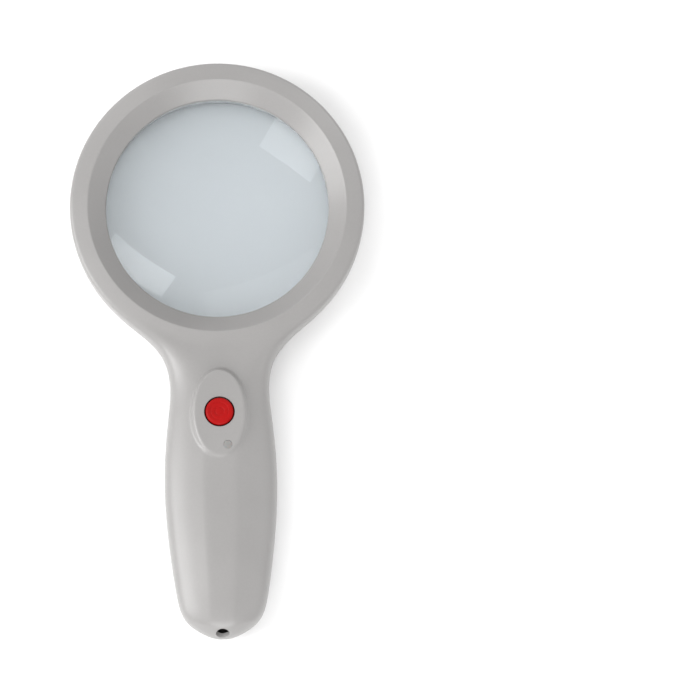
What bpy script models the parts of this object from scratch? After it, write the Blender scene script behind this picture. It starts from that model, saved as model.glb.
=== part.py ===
"""Hand-held low vision magnifier with a ring of lamps behind its lens, modelled in metres.

The front faces +Z and the handle runs towards -Y. The rear rim lies on z = 0, and the
origin is under the middle of the whole length.
"""

import math

import bmesh
import bpy
from mathutils import Matrix, Vector

MM = 0.001

# Fits
WALL = 2.2 * MM
GAP = 0.3 * MM
# The rear wall leans, so it measures this many times its thickness straight upwards.
WALL_LEAN = 1.2

# Head
HEAD_RADIUS = 69.0 * MM
RIM_WIDTH = 8.5 * MM
CONE_WIDTH = 8.4 * MM
CONE_DEPTH = 7.0 * MM
LIP_DEPTH = 1.8 * MM
RIM_HEIGHT = 24.0 * MM
PARTING_HEIGHT = 12.0 * MM
REAR_TAPER = 3.6 * MM
LAND_WIDTH = 2.6 * MM
RING_COLUMNS = 24
NECK_COLUMNS = 5

# Handle, from the head's outer wall to the far end
HANDLE_LENGTH = 135.7 * MM
HANDLE_HALF_WIDTH = 26.2 * MM
HANDLE_FRONT = 28.3 * MM

# Lens
LENS_EDGE = 2.7 * MM
LENS_BULGE = 4.2 * MM
LENS_OVERLAP = 1.2 * MM

# Lamp ring
LAMP_COUNT = 18
LAMP_RADIUS = 2.4 * MM
LAMP_LENGTH = 4.2 * MM
LAMP_HOLE_RADIUS = 3.6 * MM
LAMP_BOARD_THICKNESS = 1.6 * MM
COLLAR_THICKNESS = 1.5 * MM
REFLECTOR_THICKNESS = 1.4 * MM
REFLECTOR_LEDGE = 0.6 * MM
WINDOW_THICKNESS = 2.1 * MM

# Button, pad and indicator, measured from the head's outer wall
BUTTON_PLACE = 30.8 * MM
BUTTON_RADIUS = 6.75 * MM
BUTTON_PROUD = 0.9 * MM
BUTTON_FLANGE = 1.3 * MM
BUTTON_FLANGE_THICKNESS = 1.0 * MM
BUTTON_HEADROOM = 1.4 * MM
PAD_HALF_WIDTH = 12.6 * MM
PAD_HALF_LENGTH = 20.7 * MM
PAD_SHIFT = 0.2 * MM
PAD_RISE = 1.1 * MM
PAD_CROWN_DROP = 0.3 * MM
INDICATOR_PLACE = 46.6 * MM
INDICATOR_SIDE = 3.7 * MM
INDICATOR_RADIUS = 2.0 * MM
INDICATOR_LAMP_HEIGHT = 1.2 * MM

# Main board and switch
BOARD_START = 17.5 * MM
BOARD_END = 48.5 * MM
BOARD_HALF_WIDTH = 15.0 * MM
BOARD_THICKNESS = 1.6 * MM
SWITCH_WIDTH = 8.5 * MM
SWITCH_HEIGHT = 7.0 * MM
PLUNGER_RADIUS = 1.9 * MM
SPRING_REST = 3.6 * MM
SPRING_WIRE = 0.25 * MM
SWITCH_FLOOR = 0.8 * MM

# Cells and their tray
CELL_RADIUS = 5.25 * MM
CELL_LENGTH = 44.5 * MM
CELL_COUNT = 3
CELL_NUB = 1.0 * MM
TRAY_START = 53.0 * MM
TRAY_WALL = 1.0 * MM
TRAY_RISE = 14.56 * MM
CONTACT_THICKNESS = 0.5 * MM
CONTACT_SPRING = 3.8 * MM
CONTACT_WIRE = 0.35 * MM

# Battery cover
COVER_START = 43.0 * MM
COVER_HALF_WIDTH = 18.5 * MM
COVER_BOW = 1.6 * MM
TONGUE_LENGTH = 4.0 * MM
TONGUE_HALF_WIDTH = 5.0 * MM
TONGUE_THICKNESS = 1.0 * MM

# Charging socket
SOCKET_HEIGHT = 17.5 * MM
SOCKET_HOLE_RADIUS = 3.1 * MM
SOCKET_WIDTH = 9.0 * MM
SOCKET_BODY_HEIGHT = 8.4 * MM
SOCKET_LENGTH = 11.0 * MM
SOCKET_SETBACK = 11.5 * MM
SOCKET_DEPTH = 9.2 * MM
PIN_RADIUS = 1.05 * MM
PIN_LENGTH = 7.4 * MM

# Screws
SCREW_SIDE = 13.5 * MM
SCREW_PLACE = 11.0 * MM
SCREW_HEAD_RADIUS = 2.6 * MM
SCREW_HEAD_HEIGHT = 1.8 * MM
SCREW_SHANK_RADIUS = 1.2 * MM
SCREW_LENGTH = 12.0 * MM
SCREW_SEAT = 7.0 * MM
BOARD_SCREW_LENGTH = 8.0 * MM
TRAY_SCREW_LENGTH = 6.0 * MM
POST_WALL = 1.5 * MM
BOARD_SCREW_SIDE = 11.5 * MM

LEAD_RADIUS = 0.6 * MM

# Worked out from the sizes above
HEAD_Y = HANDLE_LENGTH / 2
OPENING_RADIUS = HEAD_RADIUS - RIM_WIDTH - CONE_WIDTH
RIM_RADIUS = HEAD_RADIUS - RIM_WIDTH
LIP_HEIGHT = RIM_HEIGHT - CONE_DEPTH - LIP_DEPTH
LENS_RADIUS = OPENING_RADIUS + LENS_OVERLAP
LENS_TOP = LIP_HEIGHT - GAP
LENS_BOTTOM = LENS_TOP - LENS_EDGE
LAND_OUTER = HEAD_RADIUS - REAR_TAPER
LAND_INNER = LAND_OUTER - LAND_WIDTH
WINDOW_OUTER = LAND_INNER - GAP
COLLAR_INNER = OPENING_RADIUS + GAP
COLLAR_OUTER = COLLAR_INNER + COLLAR_THICKNESS
REFLECTOR_BOTTOM = GAP + WINDOW_THICKNESS + GAP
REFLECTOR_TOP = REFLECTOR_BOTTOM + REFLECTOR_THICKNESS
REFLECTOR_OUTER = LAND_INNER + REFLECTOR_LEDGE
LAMP_CIRCLE = (COLLAR_OUTER + REFLECTOR_OUTER) / 2
LAMP_BOARD_BOTTOM = REFLECTOR_TOP + LAMP_LENGTH + GAP
CROWN_AT_BUTTON = HANDLE_FRONT - PAD_CROWN_DROP
PAD_HEIGHT = CROWN_AT_BUTTON + PAD_RISE
BOARD_TOP = PARTING_HEIGHT + GAP + BOARD_THICKNESS
SCREW_HOLE_RADIUS = SCREW_SHANK_RADIUS + GAP
POST_RADIUS = SCREW_HOLE_RADIUS + POST_WALL
CELL_SPACING = 2 * CELL_RADIUS + GAP
TRAY_INNER_HALF = CELL_COUNT * CELL_SPACING / 2 + GAP
TRAY_HALF_WIDTH = TRAY_INNER_HALF + TRAY_WALL
TRAY_BAY = CELL_LENGTH + CONTACT_SPRING + 2 * CONTACT_THICKNESS + 5 * GAP
TRAY_END = TRAY_START + TRAY_BAY + 2 * TRAY_WALL
TRAY_ROOF = WALL_LEAN * WALL + TRAY_RISE
CELL_HEIGHT = TRAY_ROOF - TRAY_WALL - GAP - CELL_RADIUS
TRAY_BOTTOM = CELL_HEIGHT - CELL_RADIUS

# Sections of the handle's front and rear halves, from the parting line to the middle:
# a share of the half width, and a share of the height away from the parting line.
NECK_FRONT = ((1.0, 0.0), (1.0, 0.42), (1.0, 0.86), (0.93, 0.92), (0.58, 0.97), (0.2, 1.0))
GRIP_FRONT = ((1.0, 0.0), (1.0, 0.3), (0.93, 0.61), (0.64, 0.835), (0.34, 0.965), (0.25, 1.0))
NECK_REAR = ((1.0, 0.0), (0.985, 0.42), (0.965, 0.86), (0.92, 1.0), (0.58, 1.0), (0.2, 1.0))
GRIP_REAR = ((1.0, 0.0), (0.985, 0.38), (0.9, 0.76), (0.66, 0.97), (0.38, 1.0), (0.13, 1.0))

# Stations along the handle: share of its length, share of its half width, how far the
# middle runs ahead of the sides, how much of the section is grip rather than neck, and
# the drop of the front and the rise of the rear from the handle's full depth.
STATIONS = (
    (-0.029, 1.1, 7.0 * MM, 0.35, 4.4 * MM, 0.2 * MM),
    (0.052, 0.9, 3.0 * MM, 0.8, 2.4 * MM, 0.1 * MM),
    (0.140, 0.863, 0.6 * MM, 1.0, 0.8 * MM, 0.0),
    (0.245, 0.935, 0.0, 1.0, 0.2 * MM, 0.0),
    (0.360, 0.990, 0.0, 1.0, 0.0, 0.0),
    (0.480, 1.006, 0.0, 1.0, 0.0, 0.0),
    (0.600, 0.972, 0.0, 1.0, 0.2 * MM, 0.3 * MM),
    (0.710, 0.912, 0.0, 1.0, 0.7 * MM, 0.8 * MM),
    (0.810, 0.840, 0.0, 1.0, 1.6 * MM, 1.6 * MM),
    (0.893, 0.772, 0.0, 1.0, 3.2 * MM, 2.8 * MM),
    (0.945, 0.640, 1.6 * MM, 1.0, 5.4 * MM, 4.4 * MM),
)
# Rows across the handle's rounded end: share of the height from the parting line to
# the last station's crown, and how far the row stops short of the full length.
END_ROWS_FRONT = ((0.0, 0.0), (0.38, 0.4 * MM), (0.8, 3.2 * MM))
END_ROWS_REAR = ((0.0, 0.0), (0.45, 0.9 * MM), (0.85, 3.0 * MM))
END_CORNER_SETBACK = 2.5 * MM
END_COLUMNS = (0.56, 0.19)

# Each half of the casing is drawn this far past the parting line, then cut flat there.
PARTING_SPARE = 1.5 * MM

# A smoothed loop shrinks inwards, so its cage is drawn this much larger.
LOOP_SWELL = 6 / (4 + 2 * math.cos(2 * math.pi / RING_COLUMNS))


# ---- scene, materials and small helpers


def clear_scene():
    for item in list(bpy.data.objects):
        bpy.data.objects.remove(item, do_unlink=True)


def new_collection(name):
    collection = bpy.data.collections.new(name)
    bpy.context.scene.collection.children.link(collection)
    return collection


def material(name, colour, roughness, metallic=0.0):
    made = bpy.data.materials.new(name)
    made.use_nodes = True
    shader = made.node_tree.nodes["Principled BSDF"]
    shader.inputs["Base Color"].default_value = (*colour, 1.0)
    shader.inputs["Roughness"].default_value = roughness
    shader.inputs["Metallic"].default_value = metallic
    return made


def along(distance):
    """The y of a place this far beyond the head's outer wall, towards the handle's end."""
    return HEAD_Y - HEAD_RADIUS - distance


def add_object(name, mesh, finish=None, place=(0, 0, 0)):
    made = bpy.data.objects.new(name, mesh)
    made.location = place
    if finish is None:
        cutters.objects.link(made)
        made.hide_render = True
        made.display_type = "WIRE"
    else:
        parts.objects.link(made)
        mesh.materials.append(finish)
    return made


def mesh_from(builder, name):
    mesh = bpy.data.meshes.new(name)
    builder.to_mesh(mesh)
    builder.free()
    return mesh


def box(name, low, high, finish=None):
    builder = bmesh.new()
    bmesh.ops.create_cube(builder, size=1.0)
    size = [high[i] - low[i] for i in range(3)]
    bmesh.ops.scale(builder, vec=size, verts=builder.verts)
    centre = [(low[i] + high[i]) / 2 for i in range(3)]
    return add_object(name, mesh_from(builder, name), finish, centre)


def cylinder(name, radius, low, high, finish=None, sides=24, along_y=False):
    """A round bar between two points on one axis line, low and high."""
    builder = bmesh.new()
    length = (Vector(high) - Vector(low)).length
    bmesh.ops.create_cone(
        builder, cap_ends=True, segments=sides, radius1=radius, radius2=radius, depth=length
    )
    if along_y:
        turn = Matrix.Rotation(math.pi / 2, 3, "X")
        bmesh.ops.rotate(builder, matrix=turn, verts=builder.verts)
    mesh = mesh_from(builder, name)
    mesh.shade_smooth()
    mesh.set_sharp_from_angle(angle=math.radians(40))
    return add_object(name, mesh, finish, (Vector(low) + Vector(high)) / 2)


def turned(name, profile, finish=None, steps=48, place=(0, 0, 0), closed=True):
    """A profile of (radius, height) points turned about the upright axis at place."""
    builder = bmesh.new()
    points = [builder.verts.new((radius, 0, height)) for radius, height in profile]
    for first, second in zip(points, points[1:]):
        builder.edges.new((first, second))
    if closed:
        builder.edges.new((points[-1], points[0]))
    made = add_object(name, mesh_from(builder, name), finish, place)
    screw = made.modifiers.new("turn", "SCREW")
    screw.steps = steps
    screw.render_steps = steps
    screw.use_merge_vertices = True
    screw.merge_threshold = 0.00001
    return made


def apply_boolean(target, tool, operation):
    change = target.modifiers.new(tool.name, "BOOLEAN")
    change.operation = operation
    change.solver = "EXACT"
    change.object = tool


def tube(name, points, radius, finish, resolution=2):
    curve = bpy.data.curves.new(name, "CURVE")
    curve.dimensions = "3D"
    curve.bevel_depth = radius
    curve.bevel_resolution = resolution
    curve.use_fill_caps = True
    spline = curve.splines.new("POLY")
    spline.points.add(len(points) - 1)
    for point, place in zip(spline.points, points):
        point.co = (*place, 1)
    made = bpy.data.objects.new(name, curve)
    parts.objects.link(made)
    curve.materials.append(finish)
    return made


def smooth_route(corners, steps=3):
    """Points on a smooth curve through the corners."""
    ends = [2 * corners[0] - corners[1], *corners, 2 * corners[-1] - corners[-2]]
    route = []
    for i in range(1, len(ends) - 2):
        a, b, c, d = ends[i - 1 : i + 3]
        for step in range(steps):
            t = step / steps
            part = 2 * b + (c - a) * t + (2 * a - 5 * b + 4 * c - d) * t * t
            route.append((part + (3 * b - a - 3 * c + d) * t**3) / 2)
    return route + [corners[-1]]


def coil(name, start, direction, radius, wire, length, turns, finish):
    """A compression spring from start, along a unit direction."""
    side = direction.orthogonal().normalized()
    other = direction.cross(side)
    count = int(turns * 8)
    run = length - 2 * wire
    points = []
    for i in range(count + 1):
        angle = 2 * math.pi * turns * i / count
        offset = side * math.cos(angle) + other * math.sin(angle)
        points.append(start + direction * (wire + run * i / count) + offset * radius)
    return tube(name, points, wire, finish)


# ---- casing surfaces


def ring_place(radius, height, column):
    """A cage point on the head; column 0 is the first one right of the handle's middle."""
    angle = (column + 0.5) * 2 * math.pi / RING_COLUMNS
    reach = radius * LOOP_SWELL
    return (reach * math.sin(angle), HEAD_Y - reach * math.cos(angle), height)


def blend(first, second, share):
    return [
        tuple(a + (b - a) * share for a, b in zip(one, two)) for one, two in zip(first, second)
    ]


def station_points(station, neck, grip, depth):
    """One cross-section of the handle, from the left parting line over to the right one."""
    place, width, lead, share, front_drop, rear_rise = station
    section = blend(neck, grip, share)
    half_width = width * HANDLE_HALF_WIDTH
    height = depth - front_drop if depth > 0 else depth + rear_rise
    half = []
    for across, up in section:
        middle = max(0.0, 1 - across * across)
        y = along(place * HANDLE_LENGTH + lead * middle)
        half.append((across * half_width, y, level(up, height)))
    return [(-x, y, z) for x, y, z in half] + half[::-1]


def level(share, depth):
    """The height of a share of the depth; share 0 lies a little past the parting line."""
    if share == 0:
        return PARTING_HEIGHT - math.copysign(PARTING_SPARE, depth)
    return PARTING_HEIGHT + share * depth


def end_row(right, share, setback, crown):
    """The cage points between the last section's two sides, on the rounded end."""
    y_end = along(HANDLE_LENGTH - setback)
    y_corner = along(HANDLE_LENGTH - setback - END_CORNER_SETBACK)
    z = level(share, crown - PARTING_HEIGHT)
    half = [
        (END_COLUMNS[0] * right.co.x, y_corner, z),
        (END_COLUMNS[1] * right.co.x, y_end, z),
    ]
    return [(-x, y, z) for x, y, z in half] + half[::-1]


def casing_mesh(name, ring_profile, shared_row, neck, grip, depth, end_rows, creased_rows):
    """Half of the casing as an open cage.

    ring_profile runs from the opening to the parting line, and its row shared_row is
    where the top of the neck joins the head.
    """
    builder = bmesh.new()
    half_neck = NECK_COLUMNS // 2 + 1
    first, last = -half_neck, half_neck - 1
    columns = range(first, first + RING_COLUMNS)
    rings = []
    for row, (radius, height) in enumerate(ring_profile):
        wanted = columns if row <= shared_row else [c for c in columns if not first < c < last]
        rings.append({c: builder.verts.new(ring_place(radius, height, c)) for c in wanted})
    for row in range(len(rings) - 1):
        for c in columns:
            after = c + 1 if c + 1 in columns else first
            if row >= shared_row and first <= c < last:
                continue
            inner, outer = rings[row], rings[row + 1]
            builder.faces.new((inner[c], inner[after], outer[after], outer[c]))
    outer_rows = rings[shared_row + 1 :]
    sections = [
        [ring[first] for ring in outer_rows[::-1]]
        + [rings[shared_row][c] for c in range(first, last + 1)]
        + [ring[last] for ring in outer_rows]
    ]
    for station in STATIONS:
        points = station_points(station, neck, grip, depth)
        sections.append([builder.verts.new(point) for point in points])
    for one, two in zip(sections, sections[1:]):
        for i in range(len(one) - 1):
            builder.faces.new((one[i], one[i + 1], two[i + 1], two[i]))
    add_end(builder, sections[-1], end_rows, depth)
    crease_rows(builder, [rings[row] for row in creased_rows])
    bmesh.ops.recalc_face_normals(builder, faces=builder.faces)
    middle_face = sections[5][5].link_faces[0]
    middle_face.normal_update()
    if middle_face.normal.z * depth < 0:
        bmesh.ops.reverse_faces(builder, faces=builder.faces)
    mesh = mesh_from(builder, name)
    mesh.shade_smooth()
    return mesh


def add_end(builder, section, end_rows, depth):
    """The rounded end, as a grid between the last section's crown and the parting line."""
    side = len(end_rows)
    crown = max(section, key=lambda vert: vert.co.z * depth).co.z
    above = section[side:-side]
    for row in range(side - 1, -1, -1):
        share, setback = end_rows[row]
        left, right = section[row], section[-1 - row]
        points = end_row(right, share, setback, crown)
        below = [left] + [builder.verts.new(point) for point in points] + [right]
        for i in range(len(below) - 1):
            builder.faces.new((above[i], above[i + 1], below[i + 1], below[i]))
        above = below


def crease_rows(builder, rows):
    crease = builder.edges.layers.float.new("crease_edge")
    for row in rows:
        members = set(row.values())
        for edge in builder.edges:
            if edge.verts[0] in members and edge.verts[1] in members:
                edge[crease] = 1.0


def casing(name, mesh, finish):
    made = add_object(name, mesh, finish)
    smooth = made.modifiers.new("smooth", "SUBSURF")
    smooth.levels = 1
    smooth.render_levels = 1
    wall = made.modifiers.new("wall", "SOLIDIFY")
    wall.thickness = WALL
    wall.offset = -1
    return made


def front_cage():
    profile = (
        (OPENING_RADIUS, LIP_HEIGHT),
        (OPENING_RADIUS, LIP_HEIGHT + LIP_DEPTH),
        (RIM_RADIUS, RIM_HEIGHT),
        (RIM_RADIUS + 0.3 * RIM_WIDTH, RIM_HEIGHT - 0.4 * MM),
        (RIM_RADIUS + 0.74 * RIM_WIDTH, RIM_HEIGHT - 1.05 * MM),
        (HEAD_RADIUS, RIM_HEIGHT - 1.5 * MM),
        (HEAD_RADIUS, RIM_HEIGHT - 7.0 * MM),
        (HEAD_RADIUS - 0.4 * MM, PARTING_HEIGHT - PARTING_SPARE),
    )
    return casing_mesh(
        "front_shell", profile, 4, NECK_FRONT, GRIP_FRONT, HANDLE_FRONT - PARTING_HEIGHT,
        END_ROWS_FRONT, (1, 2),
    )


def rear_cage(name):
    top = PARTING_HEIGHT + PARTING_SPARE
    flare = HEAD_RADIUS - 0.3 * MM - LAND_OUTER
    profile = (
        (LAND_INNER, 0.0),
        (LAND_OUTER, 0.0),
        (LAND_OUTER + 0.15 * flare + 0.3 * MM, 0.15 * top),
        (LAND_OUTER + 0.6 * flare, 0.6 * top),
        (LAND_OUTER + flare, top),
    )
    return casing_mesh(
        name, profile, 1, NECK_REAR, GRIP_REAR, -PARTING_HEIGHT, END_ROWS_REAR, (1,)
    )


def trim(shell, low, high):
    """Cuts away the part of a shell between two heights."""
    reach = HANDLE_LENGTH + HEAD_RADIUS
    tool = box(shell.name + "_trim", (-reach, -reach, low), (reach, reach, high))
    apply_boolean(shell, tool, "DIFFERENCE")


# ---- front casing


def front_shell(finish):
    shell = casing("front_shell", front_cage(), finish)
    trim(shell, PARTING_HEIGHT - 10 * MM, PARTING_HEIGHT)
    for tool in front_additions():
        apply_boolean(shell, tool, "UNION")
    for tool in front_holes():
        apply_boolean(shell, tool, "DIFFERENCE")
    return shell


def pad_outline(name, half_width, half_length, bottom, top):
    """An oval block with its top edge rounded over."""
    builder = bmesh.new()
    bmesh.ops.create_cone(
        builder, cap_ends=True, segments=40, radius1=1, radius2=1, depth=top - bottom
    )
    bmesh.ops.scale(builder, vec=(half_width, half_length, 1), verts=builder.verts)
    made = add_object(
        name, mesh_from(builder, name), None,
        (0, along(BUTTON_PLACE + PAD_SHIFT), (top + bottom) / 2),
    )
    rounding = made.modifiers.new("rounding", "BEVEL")
    rounding.width = 0.9 * PAD_RISE
    rounding.segments = 2
    rounding.limit_method = "ANGLE"
    return made


def front_additions():
    pad_bottom = CROWN_AT_BUTTON - 0.65 * WALL
    seat_inner = LENS_RADIUS + GAP
    seat_outer = seat_inner + COLLAR_THICKNESS
    seat_top = LIP_HEIGHT + LIP_DEPTH + 0.6 * MM
    seat_low = LENS_BOTTOM + GAP
    seat = ((seat_outer, seat_top), (seat_outer, seat_low), (seat_inner, seat_low),
            (seat_inner, seat_top))
    posts = [
        pad_outline("pad", PAD_HALF_WIDTH, PAD_HALF_LENGTH, pad_bottom, PAD_HEIGHT),
        turned("lens_seat", seat, steps=2 * RING_COLUMNS + 1, place=(0, HEAD_Y, 0)),
    ]
    for name, x, distance, low, below_crown in screw_posts():
        top = HANDLE_FRONT - below_crown
        y = along(distance)
        posts.append(cylinder(name, POST_RADIUS, (x, y, low), (x, y, top), sides=16))
    return posts


def screw_posts():
    """Each post's name, x, place, lower end and how far its top stays below the crown."""
    neck_low = PARTING_HEIGHT
    board_low = BOARD_TOP + GAP
    board_place = BOARD_END - POST_RADIUS - GAP
    return (
        ("neck_post_left", -SCREW_SIDE, SCREW_PLACE, neck_low, 1.9 * WALL),
        ("neck_post_right", SCREW_SIDE, SCREW_PLACE, neck_low, 1.9 * WALL),
        ("board_post_left", -BOARD_SCREW_SIDE, board_place, board_low, 0.75 * WALL),
        ("board_post_right", BOARD_SCREW_SIDE, board_place, board_low, 0.75 * WALL),
        ("tray_post", 0.0, TRAY_END + POST_RADIUS, TRAY_ROOF + GAP, 1.1 * WALL),
    )


def front_holes():
    holes = []
    button_y = along(BUTTON_PLACE)
    high = PAD_HEIGHT + 3 * MM
    low = PARTING_HEIGHT + 6 * MM
    hole = BUTTON_RADIUS + GAP
    holes.append(cylinder("button_hole", hole, (0, button_y, low), (0, button_y, high), sides=40))
    spot = (INDICATOR_SIDE, along(INDICATOR_PLACE))
    radius = INDICATOR_RADIUS + GAP
    holes.append(cylinder("indicator_hole", radius, (*spot, low), (*spot, high), sides=20))
    start = (0, along(HANDLE_LENGTH - SOCKET_SETBACK), SOCKET_HEIGHT)
    end = (0, along(HANDLE_LENGTH + 5 * MM), SOCKET_HEIGHT)
    holes.append(cylinder("socket_hole", SOCKET_HOLE_RADIUS, start, end, sides=24, along_y=True))
    half = SOCKET_WIDTH / 2 + GAP
    rise = SOCKET_BODY_HEIGHT / 2 + GAP
    back = HANDLE_LENGTH - SOCKET_SETBACK - SOCKET_LENGTH - GAP
    low = (-half, start[1], SOCKET_HEIGHT - rise)
    holes.append(box("jack_bay", low, (half, along(back), SOCKET_HEIGHT + rise)))
    for name, x, distance, bottom, below_crown in screw_posts():
        y = along(distance)
        top = HANDLE_FRONT - below_crown - WALL
        tool = cylinder(
            name.replace("post", "pilot"), SCREW_HOLE_RADIUS, (x, y, bottom - 1 * MM), (x, y, top),
            sides=12,
        )
        holes.append(tool)
    return holes


# ---- rear casing and battery cover


def cover_cutter(name, spare):
    """The outline of the battery cover, with its bowed upper edge, grown by spare."""
    curve = bpy.data.curves.new(name, "CURVE")
    curve.dimensions = "2D"
    curve.fill_mode = "BOTH"
    curve.extrude = PARTING_HEIGHT
    half = COVER_HALF_WIDTH + spare
    top = COVER_START - spare
    bottom = HANDLE_LENGTH + 20 * MM
    edge = 8
    points = [(half, along(bottom)), (half, along(top))]
    for i in range(1, edge):
        across = 1 - 2 * i / edge
        points.append((across * half, along(top + COVER_BOW * (1 - across * across))))
    points += [(-half, along(top)), (-half, along(bottom))]
    spline = curve.splines.new("POLY")
    spline.points.add(len(points) - 1)
    spline.use_cyclic_u = True
    for point, (x, y) in zip(spline.points, points):
        point.co = (x, y, 0, 1)
    return solid_from_curve(name, curve)


def solid_from_curve(name, curve):
    """A curve's filled shape as a welded mesh that a Boolean can use."""
    source = bpy.data.objects.new(name + "_curve", curve)
    bpy.context.scene.collection.objects.link(source)
    bpy.context.view_layer.update()
    evaluated = source.evaluated_get(bpy.context.evaluated_depsgraph_get())
    mesh = bpy.data.meshes.new_from_object(evaluated)
    builder = bmesh.new()
    builder.from_mesh(mesh)
    bmesh.ops.remove_doubles(builder, verts=builder.verts, dist=0.00001)
    bmesh.ops.recalc_face_normals(builder, faces=builder.faces)
    builder.to_mesh(mesh)
    builder.free()
    made = add_object(name, mesh)
    made.matrix_world = source.matrix_world
    bpy.data.objects.remove(source, do_unlink=True)
    return made


def rear_shell(finish):
    shell = casing("rear_shell", rear_cage("rear_shell"), finish)
    trim(shell, PARTING_HEIGHT - GAP, PARTING_HEIGHT + 10 * MM)
    y = along(SCREW_PLACE)
    for side, x in (("left", -SCREW_SIDE), ("right", SCREW_SIDE)):
        post = cylinder(
            "rear_post_" + side, SCREW_HEAD_RADIUS + GAP + POST_WALL,
            (x, y, 0.6 * WALL), (x, y, PARTING_HEIGHT - GAP), sides=20,
        )
        apply_boolean(shell, post, "UNION")
        shaft = cylinder(
            "rear_shaft_" + side, SCREW_HOLE_RADIUS, (x, y, -2 * MM), (x, y, PARTING_HEIGHT + 1 * MM),
            sides=12,
        )
        apply_boolean(shell, shaft, "DIFFERENCE")
        recess = cylinder(
            "rear_recess_" + side, SCREW_HEAD_RADIUS + GAP, (x, y, -2 * MM), (x, y, SCREW_SEAT),
            sides=20,
        )
        apply_boolean(shell, recess, "DIFFERENCE")
    apply_boolean(shell, cover_cutter("cover_opening", GAP), "DIFFERENCE")
    return shell


def battery_cover(finish):
    cover = casing("battery_cover", rear_cage("battery_cover"), finish)
    trim(cover, PARTING_HEIGHT - GAP, PARTING_HEIGHT + 10 * MM)
    apply_boolean(cover, cover_cutter("cover_outline", 0.0), "INTERSECT")
    top = COVER_START + COVER_BOW
    tongue_low = WALL + 2 * GAP
    tongue_high = tongue_low + TONGUE_THICKNESS
    tongue = box(
        "cover_tongue",
        (-TONGUE_HALF_WIDTH, along(top + TONGUE_LENGTH), tongue_low),
        (TONGUE_HALF_WIDTH, along(top - TONGUE_LENGTH), tongue_high),
    )
    root = box(
        "cover_tongue_root",
        (-0.8 * TONGUE_HALF_WIDTH, along(top + 0.8 * TONGUE_LENGTH), 0.7 * WALL),
        (0.8 * TONGUE_HALF_WIDTH, along(top + 0.3 * TONGUE_LENGTH), tongue_high - 0.2 * MM),
    )
    apply_boolean(cover, root, "UNION")
    apply_boolean(cover, tongue, "UNION")
    return cover


# ---- lens and lamp ring


def lens(finish):
    steps = 5
    front = [
        (LENS_RADIUS * i / steps, LENS_TOP + LENS_BULGE * (1 - (i / steps) ** 2))
        for i in range(steps + 1)
    ]
    rear = [
        (LENS_RADIUS * i / steps, LENS_BOTTOM - LENS_BULGE * (1 - (i / steps) ** 2))
        for i in range(steps, -1, -1)
    ]
    return turned("lens", front + rear, finish, place=(0, HEAD_Y, 0), closed=False)


def reflector_ring(finish):
    profile = (
        (COLLAR_OUTER, LENS_BOTTOM - GAP),
        (COLLAR_OUTER, REFLECTOR_TOP),
        (REFLECTOR_OUTER, REFLECTOR_TOP),
        (REFLECTOR_OUTER, REFLECTOR_BOTTOM),
        (COLLAR_INNER, REFLECTOR_BOTTOM),
        (COLLAR_INNER, LENS_BOTTOM - GAP),
    )
    ring = turned("reflector_ring", profile, finish, steps=54, place=(0, HEAD_Y, 0))
    builder = bmesh.new()
    for i in range(LAMP_COUNT):
        made = bmesh.ops.create_cone(
            builder, cap_ends=True, segments=10, radius1=LAMP_HOLE_RADIUS,
            radius2=LAMP_HOLE_RADIUS, depth=4 * REFLECTOR_THICKNESS,
        )
        bmesh.ops.translate(builder, vec=lamp_place(i, REFLECTOR_BOTTOM), verts=made["verts"])
    holes = add_object("lamp_holes", mesh_from(builder, "lamp_holes"))
    apply_boolean(ring, holes, "DIFFERENCE")
    return ring


def lamp_place(i, height):
    angle = (i + 0.5) * 2 * math.pi / LAMP_COUNT
    return Vector((LAMP_CIRCLE * math.sin(angle), HEAD_Y - LAMP_CIRCLE * math.cos(angle), height))


def light_window(finish):
    top = GAP + WINDOW_THICKNESS
    profile = ((WINDOW_OUTER, top), (WINDOW_OUTER, GAP), (COLLAR_INNER, GAP), (COLLAR_INNER, top))
    return turned("light_window", profile, finish, steps=54, place=(0, HEAD_Y, 0))


def led_board(finish):
    outer = REFLECTOR_OUTER
    inner = COLLAR_OUTER + 2 * GAP
    low = LAMP_BOARD_BOTTOM
    high = low + LAMP_BOARD_THICKNESS
    profile = ((outer, high), (outer, low), (inner, low), (inner, high))
    return turned("led_board", profile, finish, place=(0, HEAD_Y, 0))


def leds(finish):
    """One domed lamp for each hole of the reflector, hanging from the ring board."""
    top = LAMP_BOARD_BOTTOM - GAP
    profile = (
        (0.0, top),
        (LAMP_RADIUS, top),
        (LAMP_RADIUS, top - 0.45 * LAMP_LENGTH),
        (0.75 * LAMP_RADIUS, top - 0.8 * LAMP_LENGTH),
        (0.0, top - LAMP_LENGTH),
    )
    for i in range(LAMP_COUNT):
        place = lamp_place(i, 0.0)
        turned(f"led_{i + 1:02d}", profile, finish, steps=8, place=place, closed=False)


# ---- button, switch and main board


def push_button(finish):
    top = PAD_HEIGHT + BUTTON_PROUD
    flange_top = CROWN_AT_BUTTON - WALL - BUTTON_HEADROOM
    flange_low = flange_top - BUTTON_FLANGE_THICKNESS
    flange = BUTTON_RADIUS + BUTTON_FLANGE
    profile = (
        (0.0, 0.0),
        (0.72 * BUTTON_RADIUS, -0.1 * BUTTON_PROUD),
        (0.94 * BUTTON_RADIUS, -0.35 * BUTTON_PROUD),
        (BUTTON_RADIUS, -0.9 * BUTTON_PROUD),
        (BUTTON_RADIUS, flange_top - top),
        (flange, flange_top - top),
        (flange, flange_low - top),
        (0.0, flange_low - top),
    )
    place = (0, along(BUTTON_PLACE), top)
    return turned("push_button", profile, finish, steps=40, place=place, closed=False)


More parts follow.
